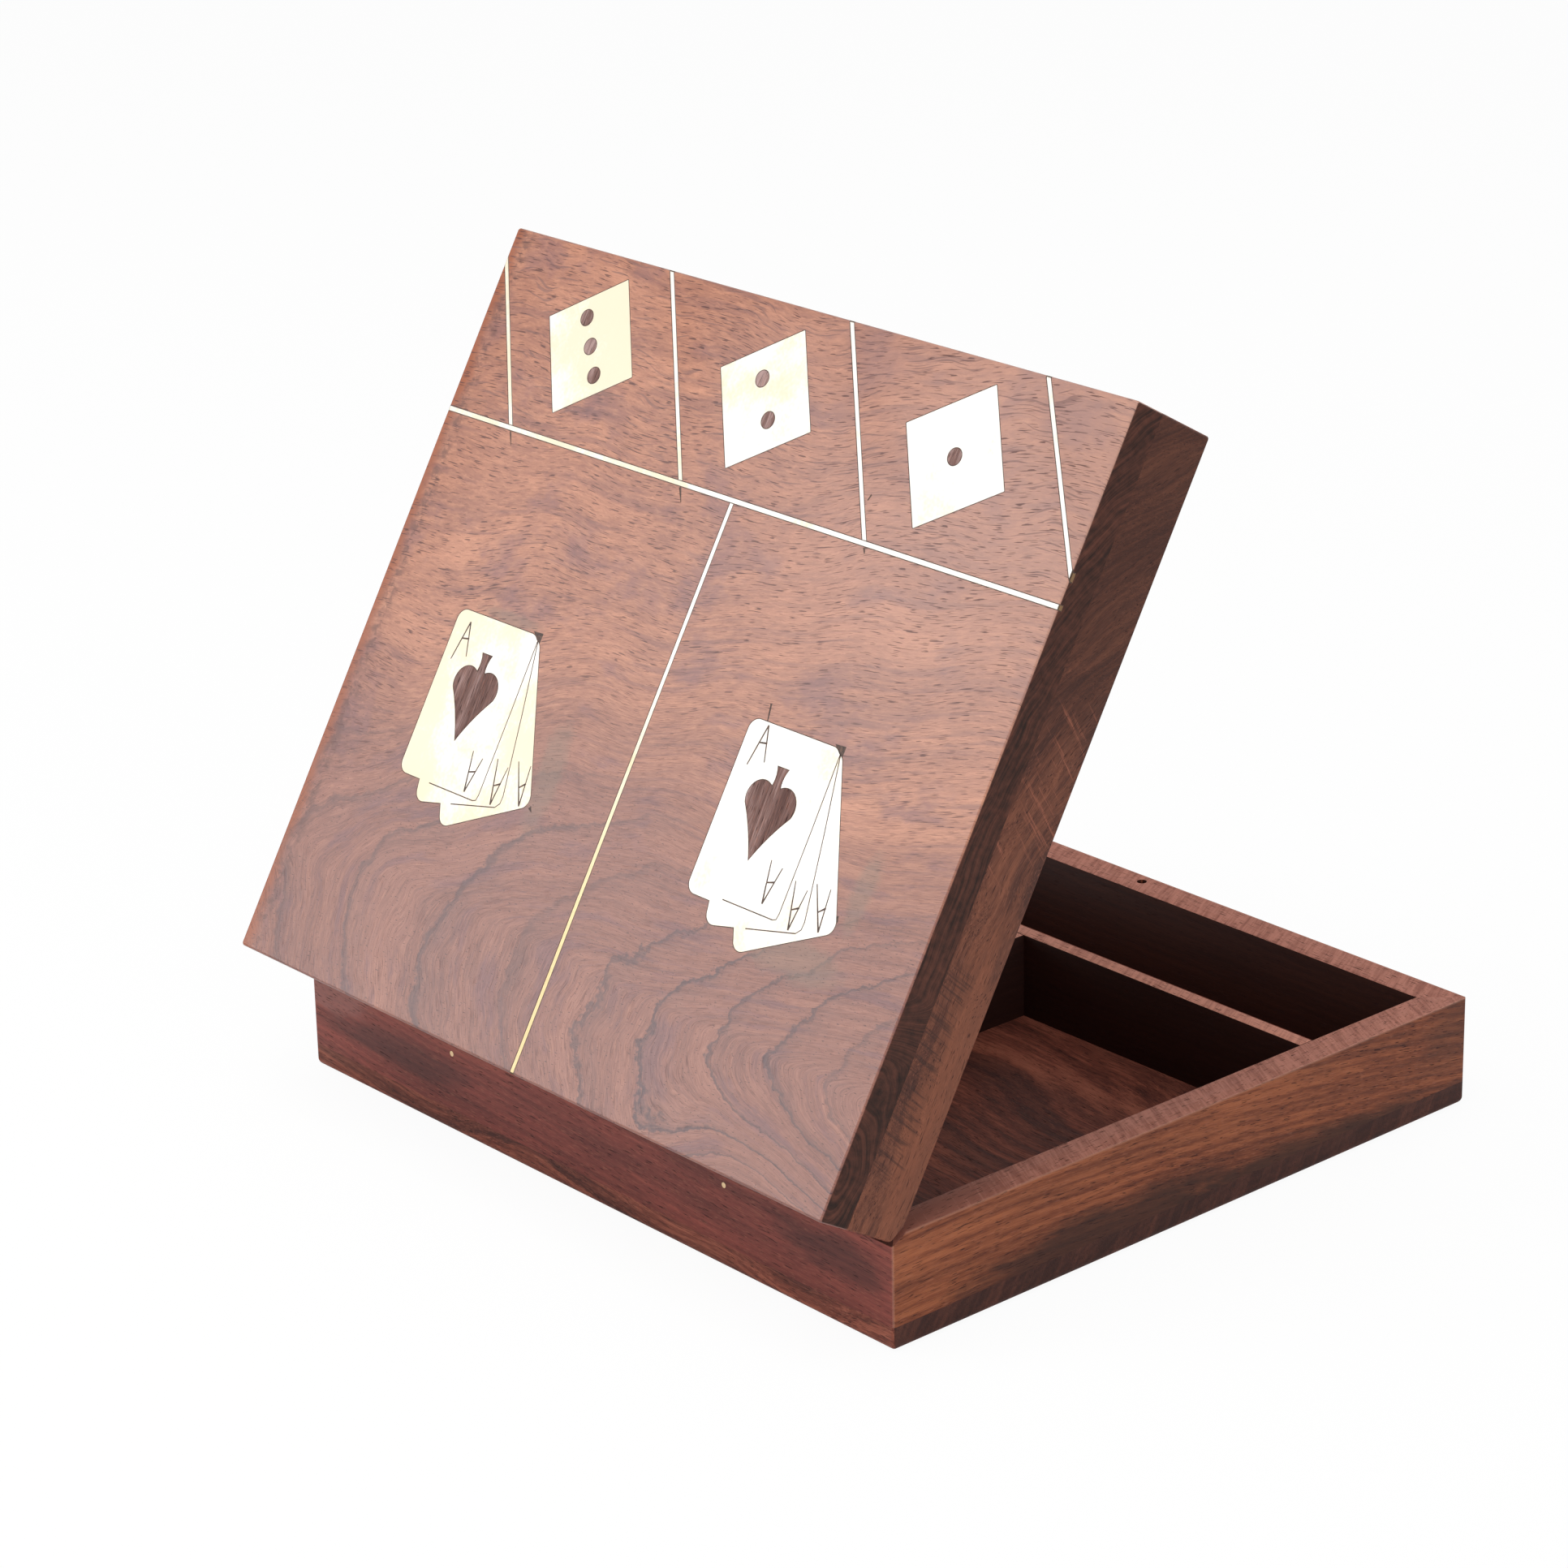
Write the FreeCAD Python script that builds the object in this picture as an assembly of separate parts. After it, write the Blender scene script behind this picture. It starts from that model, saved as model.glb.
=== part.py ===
import FreeCAD, Part
import math
import os

from FreeCAD import Vector

os.makedirs("parts", exist_ok=True)

# Playing-card box for two decks and a set of dice, in mm.
# X runs along the hinge line, the front is at -Y, the hinge wall at +Y, +Z is up.
# The origin is the middle of the underside. Left and right are the user's, from the front.

# What the box holds, and the room left round it.
card_width = 63.5
card_length = 88.9
card_side_clearance = 2.5
card_end_clearance = 3.2
dice_channel_width = 26.9

# Timber sizes.
wall_stock = 6.35
card_divider_thickness = 6.35
dice_divider_thickness = 3.1
bottom_board_thickness = 4.3
wall_height = 16.1
lid_rail_height = 12.15
lid_board_thickness = 6.35
corner_softening = 0.6
top_edge_softening = 0.5
bottom_edge_softening = 1.2

# Hinge line: both halves are bevelled along it so that the lid can swing back.
hinge_bevel_depth = 3.2
hinge_bevel_drop = 1.7
hinge_axis_inset = 1.8
lid_seat_gap = 0.1
lid_open_angle = 59.75

# Butt hinges let into saw kerfs, each leaf held by one cross pin.
hinge_from_side = 41.3
hinge_length = 18.0
knuckle_radius = 1.5
knuckle_gap = 0.15
knuckle_pocket_clearance = 0.35
leaf_thickness = 0.9
leaf_height = 8.0
hinge_pin_radius = 0.65
running_clearance = 0.05
leaf_pin_radius = 0.5
leaf_pin_length = 5.4
leaf_pin_from_axis = 5.1

# Closing pin under the lid's front rail, and its hole in the front wall.
closing_pin_radius = 0.8
closing_pin_clearance = 0.15
closing_pin_tip_chamfer = 0.4
closing_pin_from_front = 2.4
closing_pin_in_rail = 5.0
closing_pin_below_rail = 2.6
closing_hole_spare_depth = 0.6

# Brass inlay lines.
inlay_depth = 0.8
line_width = 1.1
long_line_from_front = 34.7
slant_angle = 32.0
slant_count = 4
first_slant_from_right = 18.0
last_slant_past_left = 1.2

# Brass dice faces with wooden pips.
dice_plate_size = 19.3
dice_plate_from_front = 16.8
dice_plate_corner = 0.3
pip_radius = 1.45
three_pip_pitch = 5.9
two_pip_pitch = 8.1
pip_row_angle = 37.5

# Brass fans of three cards with wooden spades.
fan_card_width = 22.3
fan_card_length = 31.0
fan_card_corner = 2.2
fan_card_angles = (0.0, 12.0, 25.5)
fan_corner_from_half_middle = 6.25
fan_behind_long_line = 32.6
spade_foot_height = 6.4

# Places worked out from the sizes above.
box_width = 2 * wall_stock + card_divider_thickness + 2 * (card_width + 2 * card_side_clearance)
card_bay_length = card_length + 2 * card_end_clearance
box_depth = 2 * wall_stock + dice_divider_thickness + dice_channel_width + card_bay_length
half_width = box_width / 2
half_depth = box_depth / 2
base_height = bottom_board_thickness + wall_height
lid_low = base_height + lid_seat_gap
rail_top = lid_low + lid_rail_height
lid_top = rail_top + lid_board_thickness
inlay_floor = lid_top - inlay_depth
hinge_y = half_depth - hinge_axis_inset
hinge_z = base_height + lid_seat_gap / 2
leaf_y = hinge_y - knuckle_radius
pocket_radius = knuckle_radius + knuckle_pocket_clearance
dice_divider_y = -half_depth + wall_stock + dice_channel_width
card_bay_front = dice_divider_y + dice_divider_thickness
card_bay_back = half_depth - wall_stock
long_line_y = -half_depth + long_line_from_front
dice_plate_y = -half_depth + dice_plate_from_front
closing_pin_y = -half_depth + closing_pin_from_front
slant_run = math.tan(math.radians(slant_angle))
first_slant_x = half_width - first_slant_from_right
slant_spread = box_width - first_slant_from_right + last_slant_past_left
slant_pitch = slant_spread / (slant_count - 1)
fan_y = long_line_y + fan_behind_long_line
hinge_x = half_width - hinge_from_side
reach = box_width + box_depth


def block(x0, x1, y0, y1, z0, z1):
    return Part.makeBox(x1 - x0, y1 - y0, z1 - z0, Vector(x0, y0, z0))


def rod(radius, length, start, direction):
    return Part.makeCylinder(radius, length, start, direction)


def prism(points, z0, height):
    corners = [Vector(x, y, z0) for x, y in points]
    face = Part.Face(Part.makePolygon(corners + corners[:1]))
    return face.extrude(Vector(0, 0, height))


def fuse(shapes):
    joined = shapes[0].multiFuse(shapes[1:]) if len(shapes) > 1 else shapes[0]
    return joined.removeSplitter()


def upright_edges(shape):
    return [edge for edge in shape.Edges if abs(edge.tangentAt(edge.FirstParameter).z) > 0.99]


def rim_edges(shape, height):
    low = [edge for edge in shape.Edges if abs(edge.BoundBox.ZMin - height) < 1e-6]
    return [edge for edge in low if abs(edge.BoundBox.ZMax - height) < 1e-6]


def softened_block(z0, z1):
    """The box's outline between two heights, its upright corners eased."""
    blank = block(-half_width, half_width, -half_depth, half_depth, z0, z1)
    return blank.makeFillet(corner_softening, upright_edges(blank))


def hinge_bevel(z, rise):
    """The wedge planed off the hinge edge at height z, towards z + rise."""
    outside = half_depth + 1
    grow = (hinge_bevel_depth + 1) / hinge_bevel_depth
    low = (outside, z + rise * grow)
    profile = [(half_depth - hinge_bevel_depth, z), (outside, z), low]
    corners = [Vector(-reach, y, height) for y, height in profile]
    face = Part.Face(Part.makePolygon(corners + corners[:1]))
    return face.extrude(Vector(2 * reach, 0, 0))


def mitred_side(name):
    """Footprint of one wall, from outer corner to inner corner."""
    x, y = half_width + 1, half_depth + 1
    across = wall_stock + 1
    footprints = {
        "hinge": [(-x, y), (x, y), (x - across, y - across), (across - x, y - across)],
        "front": [(-x, -y), (x, -y), (x - across, across - y), (across - x, across - y)],
        "left": [(-x, -y), (-x, y), (across - x, y - across), (across - x, across - y)],
        "right": [(x, -y), (x, y), (x - across, y - across), (x - across, across - y)],
    }
    return footprints[name]


def mitred_frame(outline, z0, height):
    """Four mitred walls cut from one outline."""
    sides = ("hinge", "front", "left", "right")
    return {side: outline.common(prism(mitred_side(side), z0, height)) for side in sides}


def knuckle_spans(x):
    """The three knuckles of the hinge centred at x: left, middle, right."""
    length = (hinge_length - 2 * knuckle_gap) / 3
    starts = [x - hinge_length / 2 + n * (length + knuckle_gap) for n in range(3)]
    return [(start, start + length) for start in starts]


def leaf_plate(x, up):
    """A leaf's flat plate from the hinge axis, down into the wall or up into the rail."""
    z = sorted((hinge_z, hinge_z + up * leaf_height))
    return block(x - hinge_length / 2, x + hinge_length / 2, leaf_y, leaf_y + leaf_thickness, *z)


def hinge_leaf(x, up, own, bore_radius):
    """One leaf: its plate, notched round the other leaf's knuckles, and its own rolled knuckles."""
    spans = knuckle_spans(x)
    plate = leaf_plate(x, up)
    for n, (x0, x1) in enumerate(spans):
        if n not in own:
            start = Vector(x0 - knuckle_gap, hinge_y, hinge_z)
            width = x1 - x0 + 2 * knuckle_gap
            plate = plate.cut(rod(pocket_radius, width, start, Vector(1, 0, 0)))
    rolled = [rod(knuckle_radius, spans[n][1] - spans[n][0], Vector(spans[n][0], hinge_y, hinge_z),
                  Vector(1, 0, 0)) for n in own]
    leaf = fuse([plate] + rolled)
    bore = rod(bore_radius, hinge_length, Vector(x - hinge_length / 2, hinge_y, hinge_z), Vector(1, 0, 0))
    return leaf.cut(bore).cut(leaf_pin(x, up))


def leaf_pin(x, up):
    """The brass cross pin, flush with the outer face, that holds a leaf in its kerf."""
    start = Vector(x, half_depth, hinge_z + up * leaf_pin_from_axis)
    return rod(leaf_pin_radius, leaf_pin_length, start, Vector(0, -1, 0))


def hinge_mortises(up):
    """What the two hinges take out of the wall or of the rail: kerf, knuckle pocket and pin hole."""
    cuts = []
    for x in hinge_places:
        start = Vector(x - hinge_length / 2 - knuckle_pocket_clearance, hinge_y, hinge_z)
        width = hinge_length + 2 * knuckle_pocket_clearance
        cuts.append(rod(pocket_radius, width, start, Vector(1, 0, 0)))
        cuts.append(leaf_plate(x, up))
        cuts.append(leaf_pin(x, up))
    return fuse(cuts)


def turned(shape, angle, x, y):
    """A copy turned about the upright line through x, y."""
    copy = shape.copy()
    copy.rotate(Vector(x, y, 0), Vector(0, 0, 1), angle)
    return copy


def rounded_tile(x0, x1, y0, y1, radius):
    """A thin plate let in flush with the lid's top, its corners rounded."""
    tile = block(x0, x1, y0, y1, inlay_floor, lid_top)
    return tile.makeFillet(radius, upright_edges(tile))


def spade(x, y):
    """A spade standing on its stem's foot at x, y, its point towards the hinge."""
    foot, waist, neck = (1.25, 0.0), (0.8, 1.9), (1.0, 3.4)
    lobe, shoulder = (5.0, 3.8), (5.5, 7.2)
    flank, tip = (2.8, 10.8), (0.0, 15.8)

    def at(point, side):
        return Vector(x + side * point[0], y + point[1], inlay_floor)

    edges = [Part.LineSegment(at(foot, -1), at(foot, 1)).toShape()]
    for side in (1, -1):
        for a, b, c in ((foot, waist, neck), (neck, lobe, shoulder), (shoulder, flank, tip)):
            edges.append(Part.Arc(at(a, side), at(b, side), at(c, side)).toShape())
    outline = Part.Wire(Part.__sortEdges__(edges))
    return Part.Face(outline).extrude(Vector(0, 0, inlay_depth))


def card_fan(x):
    """Three cards spread about their shared near corner at x, the first square to the box."""
    card = rounded_tile(x, x + fan_card_width, fan_y, fan_y + fan_card_length, fan_card_corner)
    return fuse([turned(card, angle, x, fan_y) for angle in fan_card_angles])


def opened(shape):
    """The lid and all on it are modelled shut, then swung up about the hinge axis."""
    copy = shape.copy()
    copy.rotate(Vector(0, hinge_y, hinge_z), Vector(-1, 0, 0), lid_open_angle)
    return copy


hinge_places = (-hinge_x, hinge_x)
parts = {}
lid_parts = {}

# Base: a thin board under four mitred walls.
bottom_board = softened_block(0, bottom_board_thickness)
parts["bottom_board"] = bottom_board.makeFillet(bottom_edge_softening, rim_edges(bottom_board, 0))
base_outline = softened_block(bottom_board_thickness, base_height)
base_outline = base_outline.cut(hinge_bevel(base_height, -hinge_bevel_drop))
base_walls = mitred_frame(base_outline, bottom_board_thickness, wall_height)

closing_hole_depth = closing_pin_below_rail - lid_seat_gap + closing_hole_spare_depth
closing_hole_start = Vector(0, closing_pin_y, base_height - closing_hole_depth)
closing_hole = rod(closing_pin_radius + closing_pin_clearance, closing_hole_depth, closing_hole_start,
                   Vector(0, 0, 1))
parts["hinge_wall"] = base_walls["hinge"].cut(hinge_mortises(-1))
parts["front_wall"] = base_walls["front"].cut(closing_hole)
parts["left_wall"] = base_walls["left"]
parts["right_wall"] = base_walls["right"]

# Dividers, level with the walls: one board across for the dice, one between the two decks.
inner_x = half_width - wall_stock
parts["dice_divider"] = block(-inner_x, inner_x, dice_divider_y, card_bay_front,
                              bottom_board_thickness, base_height)
half_card_divider = card_divider_thickness / 2
parts["card_divider"] = block(-half_card_divider, half_card_divider, card_bay_front, card_bay_back,
                              bottom_board_thickness, base_height)

# Lid: a thick board on four mitred rails that line up with the walls.
lid_outline = softened_block(lid_low, rail_top)
lid_outline = lid_outline.cut(hinge_bevel(lid_low, hinge_bevel_drop))
lid_rails = mitred_frame(lid_outline, lid_low, lid_rail_height)
closing_pin_length = closing_pin_below_rail + closing_pin_in_rail
closing_pin_start = Vector(0, closing_pin_y, lid_low - closing_pin_below_rail)
closing_pin = rod(closing_pin_radius, closing_pin_length, closing_pin_start, Vector(0, 0, 1))
lid_parts["lid_rear_rail"] = lid_rails["hinge"].cut(hinge_mortises(1))
lid_parts["lid_front_rail"] = lid_rails["front"].cut(closing_pin)
lid_parts["lid_left_rail"] = lid_rails["left"]
lid_parts["lid_right_rail"] = lid_rails["right"]
tip_edges = rim_edges(closing_pin, closing_pin_start.z)
lid_parts["closing_pin"] = closing_pin.makeChamfer(closing_pin_tip_chamfer, tip_edges)

lid_blank = softened_block(rail_top, lid_top)
lid_blank = lid_blank.makeFillet(top_edge_softening, rim_edges(lid_blank, lid_top))

# Brass lines: one across, slanted ones from it to the front, one from it to the rear.
half_line = line_width / 2
long_line = block(-reach, reach, long_line_y - half_line, long_line_y + half_line, inlay_floor, lid_top)
front_strip = block(-reach, reach, -reach, long_line_y - half_line, inlay_floor, lid_top)
slants = []
for n in range(slant_count):
    x = first_slant_x - n * slant_pitch
    strip = block(x - half_line, x + half_line, long_line_y - reach, long_line_y + reach, inlay_floor, lid_top)
    slants.append(turned(strip, slant_angle, x, long_line_y).common(front_strip))
centre_line = block(-half_line, half_line, long_line_y + half_line, reach, inlay_floor, lid_top)

# Dice faces, each midway between two slanted lines and turned with them.
pip_pitches = {"one": (1, 0.0), "two": (2, two_pip_pitch), "three": (3, three_pip_pitch)}
slant_shift = (long_line_from_front - dice_plate_from_front) * slant_run
plates = {}
pips = []
for n, name in enumerate(("three", "two", "one")):
    x = first_slant_x - (n + 0.5) * slant_pitch + slant_shift
    half = dice_plate_size / 2
    plate = rounded_tile(x - half, x + half, dice_plate_y - half, dice_plate_y + half, dice_plate_corner)
    count, pitch = pip_pitches[name]
    holes = []
    for k in range(count):
        y = dice_plate_y + (k - (count - 1) / 2) * pitch
        holes.append(rod(pip_radius, inlay_depth, Vector(x, y, inlay_floor), Vector(0, 0, 1)))
    holes = [turned(hole, pip_row_angle, x, dice_plate_y) for hole in holes]
    plates[name] = turned(plate, slant_angle, x, dice_plate_y)
    lid_parts["dice_plate_" + name] = plates[name].cut(fuse(holes))
    pips += holes

# Card fans, one on each half of the lid.
fans = {}
spades = {}
for name, side in (("right", 1), ("left", -1)):
    x = side * half_width / 2 - fan_corner_from_half_middle
    fans[name] = card_fan(x)
    spades[name] = spade(x + fan_card_width / 2, fan_y + spade_foot_height)
    lid_parts["card_fan_" + name] = fans[name].cut(spades[name])
    lid_parts["spade_" + name] = spades[name]

inlays = [long_line, centre_line] + slants + list(plates.values()) + list(fans.values())
lid_parts["lid_board"] = lid_blank.cut(fuse(inlays))
lid_parts["long_line"] = lid_blank.common(long_line)
lid_parts["centre_line"] = lid_blank.common(centre_line)
lid_parts["slanted_lines"] = Part.makeCompound([lid_blank.common(slant) for slant in slants])
lid_parts["dice_pips"] = Part.makeCompound(pips)

# Hinges: the base leaf has the outer knuckles and grips the pin, the lid leaf turns on it.
for name, x in zip(("left", "right"), hinge_places):
    parts["base_leaf_" + name] = hinge_leaf(x, -1, (0, 2), hinge_pin_radius)
    lid_parts["lid_leaf_" + name] = hinge_leaf(x, 1, (1,), hinge_pin_radius + running_clearance)
    pin_start = Vector(x - hinge_length / 2, hinge_y, hinge_z)
    parts["hinge_pin_" + name] = rod(hinge_pin_radius, hinge_length, pin_start, Vector(1, 0, 0))
parts["base_cross_pins"] = Part.makeCompound([leaf_pin(x, -1) for x in hinge_places])
lid_parts["lid_cross_pins"] = Part.makeCompound([leaf_pin(x, 1) for x in hinge_places])

for name, shape in lid_parts.items():
    parts[name] = opened(shape)

for name, shape in parts.items():
    shape.exportStep("parts/" + name + ".step")
    print(name, "solids", len(shape.Solids), "volume", round(shape.Volume, 2), "valid", shape.isValid())

edge_rise = hinge_bevel_drop + lid_seat_gap / 2
stop_angle = 2 * math.degrees(math.atan2(edge_rise, hinge_axis_inset))
print("box", round(box_width, 2), round(box_depth, 2), "base", round(base_height, 2))
print("hinge axis y, z", round(hinge_y, 3), round(hinge_z, 3), "bevels meet at", round(stop_angle, 1))
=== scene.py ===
import math

import bmesh
import bpy
from mathutils import Matrix, Vector


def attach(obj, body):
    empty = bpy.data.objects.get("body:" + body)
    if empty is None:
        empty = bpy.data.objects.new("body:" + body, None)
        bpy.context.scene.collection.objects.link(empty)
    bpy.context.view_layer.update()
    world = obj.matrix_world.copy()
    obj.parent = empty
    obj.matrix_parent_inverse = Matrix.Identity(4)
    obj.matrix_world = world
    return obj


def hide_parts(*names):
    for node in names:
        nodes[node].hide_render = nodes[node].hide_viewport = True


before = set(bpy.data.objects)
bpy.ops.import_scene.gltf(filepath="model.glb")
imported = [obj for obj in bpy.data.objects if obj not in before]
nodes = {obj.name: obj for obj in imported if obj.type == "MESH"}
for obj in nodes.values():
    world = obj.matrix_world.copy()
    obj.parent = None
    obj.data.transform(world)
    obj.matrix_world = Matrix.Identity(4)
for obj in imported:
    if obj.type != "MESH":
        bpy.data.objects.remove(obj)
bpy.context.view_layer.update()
mm = 0.001

# The lid hangs open at rest. Its pieces are worked on as if shut, then swung back.
lidSwing = {"angle": 59.75, "hingeY": 67.2, "hingeZ": 20.45, "top": 39.0}
hingePoint = Vector((0, lidSwing["hingeY"], lidSwing["hingeZ"])) * mm
toShut = (
    Matrix.Translation(hingePoint)
    @ Matrix.Rotation(math.radians(lidSwing["angle"]), 4, "X")
    @ Matrix.Translation(-hingePoint)
)
toOpen = toShut.inverted()
lidTop = lidSwing["top"] * mm
boxSize = {"halfWidth": 78.025, "halfDepth": 69.0, "baseHeight": 20.4, "board": 4.3}


class Link:
    # One output socket; arithmetic on it adds Math nodes.
    def __init__(self, paint, socket):
        self.paint, self.socket = paint, socket

    def math(self, operation, *others):
        return self.paint.node("ShaderNodeMath", {"operation": operation}, [self, *others])

    def __add__(self, other):
        return self.math("ADD", other)

    def __sub__(self, other):
        return self.math("SUBTRACT", other)

    def __rsub__(self, other):
        return self.paint.node("ShaderNodeMath", {"operation": "SUBTRACT"}, [other, self])

    def __mul__(self, other):
        return self.math("MULTIPLY", other)

    def __truediv__(self, other):
        return self.math("DIVIDE", other)

    __radd__ = __add__
    __rmul__ = __mul__


class Paint:
    # A material or a world, and the few nodes that every finish here is made from.
    def __init__(self, owner, shader="Principled BSDF", output="Material Output"):
        owner.use_nodes = True
        self.owner, self.tree = owner, owner.node_tree
        self.shader, self.output = self.tree.nodes[shader], self.tree.nodes[output]

    def node(self, kind, settings, inputs, out=0):
        made = self.tree.nodes.new(kind)
        for key, value in settings.items():
            if key == "stops":
                self.fillRamp(made.color_ramp, value)
            else:
                setattr(made, key, value)
        pairs = inputs.items() if isinstance(inputs, dict) else enumerate(inputs)
        for key, value in pairs:
            self.plug(made.inputs[key], value)
        return Link(self, made.outputs[out])

    def plug(self, socket, value):
        if isinstance(value, Link):
            self.tree.links.new(value.socket, socket)
        else:
            socket.default_value = value

    def fillRamp(self, ramp, stops):
        while len(ramp.elements) < len(stops):
            ramp.elements.new(0.5)
        for element, (place, colour) in zip(ramp.elements, stops):
            element.position, element.color = place, (*colour, 1)

    def ramp(self, value, stops):
        return self.node("ShaderNodeValToRGB", {"stops": stops}, [value])

    def given(self, kind):
        # All outputs of a node that takes no input, by name
        made = self.node(kind, {}, {}).socket.node
        return {socket.name: Link(self, socket) for socket in made.outputs}

    def vector(self, operation, *values, out=0):
        return self.node("ShaderNodeVectorMath", {"operation": operation}, values, out)

    def blend(self, factor, first, second):
        settings = {"data_type": "RGBA", "blend_type": "MIX", "clamp_factor": True}
        first, second = (tone if isinstance(tone, Link) else (*tone, 1) for tone in (first, second))
        return self.node("ShaderNodeMix", settings, {0: factor, 6: first, 7: second}, 2)

    def noise(self, where, detail=2.0, rough=0.5, scale=1.0):
        inputs = {"Vector": where, "Scale": scale, "Detail": detail, "Roughness": rough}
        return self.node("ShaderNodeTexNoise", {}, inputs)

    def stretched(self, where, stretch, detail=2.0, rough=0.5):
        return self.noise(self.vector("MULTIPLY", where, stretch), detail, rough)

    def smooth(self, value, low, high):
        # 0 at low and before it, 1 at high and past it
        return self.node("ShaderNodeMapRange", {"interpolation_type": "SMOOTHSTEP"}, [value, low, high])

    def near(self, value, centre, reach):
        # 1 at the centre, falling to 0 at the reach on either side
        return self.smooth((value - centre).math("ABSOLUTE"), reach, 0.0)

    def split(self, where):
        made = self.node("ShaderNodeSeparateXYZ", {}, [where])
        return [Link(self, socket) for socket in made.socket.node.outputs]

    def join(self, x, y, z):
        return self.node("ShaderNodeCombineXYZ", {}, [x, y, z])

    def finish(self, **sockets):
        for name, value in sockets.items():
            self.plug(self.shader.inputs[name.replace("_", " ")], value)
        return self.owner

    def bump(self, height, strength, distance):
        inputs = {"Strength": strength, "Distance": distance * mm, "Height": height}
        return self.node("ShaderNodeBump", {}, inputs)

    def mixWith(self, factor, other):
        # The surface then shows its own shader mixed with another one.
        own = Link(self, self.shader.outputs[0])
        mixed = self.node("ShaderNodeMixShader", {}, [factor, own, other])
        self.tree.links.new(mixed.socket, self.output.inputs["Surface"])


def spaceOf(paint, onLid, grain, shift):
    # Place and facing in mm with the lid shut; q is the place along, across and through the grain.
    given = paint.given("ShaderNodeTexCoord")
    place = paint.vector("MULTIPLY", given["Object"], (1 / mm, 1 / mm, 1 / mm))
    facing = given["Normal"]
    if onLid:
        turn = {"rotation_type": "X_AXIS"}
        angle = math.radians(lidSwing["angle"])
        centre = (0, lidSwing["hingeY"], lidSwing["hingeZ"])
        about = {"Center": centre, "Angle": angle}
        place = paint.node("ShaderNodeVectorRotate", turn, {"Vector": place, **about})
        facing = paint.node("ShaderNodeVectorRotate", turn, {"Vector": facing, "Angle": angle})
    x, y, z = paint.split(place)
    faceX, faceY, faceZ = paint.split(facing)
    along, across = (x, y) if grain == "X" else (y, x)
    return {
        "x": x, "y": y, "z": z, "along": along, "across": across,
        "q": paint.join(along + shift[0], across + shift[1], z + shift[2]),
        "faceX": faceX, "faceY": faceY, "faceZ": faceZ,
        "faceAlong": faceX if grain == "X" else faceY,
    }


def growthLines(paint, height, width, fade, seed):
    # Dark season lines at whole numbers of height: sharp on one side, fading on the other.
    faintest = 0.35
    part = height.math("FRACT")
    after = paint.smooth(part, width, 0.0)
    before = paint.smooth(part, 1.0 - fade, 1.0)
    row = (height + before.math("GREATER_THAN", 0.0)).math("FLOOR")
    pick = paint.node("ShaderNodeTexWhiteNoise", {"noise_dimensions": "1D"}, {"W": row + seed})
    return after.math("MAXIMUM", before) * (pick * (1.0 - faintest) + faintest)


def poreDashes(paint, q, length, width, low, high):
    fine = paint.vector("MULTIPLY", q, (1 / length, 1 / width, 1 / width))
    return paint.smooth(paint.noise(fine, 1.0, 0.4), low, high)


def patch(paint, along, height, centre, reach, ragged):
    # 1 inside an oval, fading across a ragged edge
    outside, inside = 1.1, 0.5
    aside, up = (along - centre[0]) / reach[0], (height - centre[1]) / reach[1]
    distance = paint.vector("LENGTH", paint.join(aside, up, 0.0), out=1) + ragged
    return paint.smooth(distance, outside, inside)


# What every row of tool marks shares: strokes a little uneven in height, their ends at random depths
markShape = {"waver": 0.03, "edge": 0.12, "dropCrowd": 0.5, "dropRow": 7.0, "fade": 2.0, "core": 0.7}


def toolMarks(paint, along, height, look):
    # A row of fine torn strokes across the grain, hanging down from one height to uneven ends
    place = along + height * look["lean"]
    strokePlace = paint.join(place * look["crowd"], height * markShape["waver"], 0.0)
    line = paint.noise(strokePlace, 4.0, 0.75)
    stroke = paint.smooth(line, look["from"], look["from"] + markShape["edge"])
    dropPlace = paint.join(place * markShape["dropCrowd"], markShape["dropRow"], 0.0)
    drop = paint.noise(dropPlace, 3.0, 0.7) * look["drop"] * 2.0
    hung = paint.smooth(height + drop, look["top"], look["top"] + markShape["fade"])
    aside = (along - look["middle"]).math("ABSOLUTE")
    return stroke * hung * paint.smooth(aside, look["half"], look["half"] * markShape["core"])


# Each texture's stretch along, across and through the grain, then its detail and roughness
woodTextures = {
    "jitter": ((0.12, 0.5, 0.5), 2.0, 0.5),
    "broad": ((0.012, 0.1, 0.1), 3.0, 0.6),
    "streak": ((0.04, 1.3, 1.3), 5.0, 0.7),
    "hair": ((0.22, 5.0, 5.0), 3.0, 0.65),
    "ragged": ((0.06, 0.25, 0.25), 4.0, 0.65),
}
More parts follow.
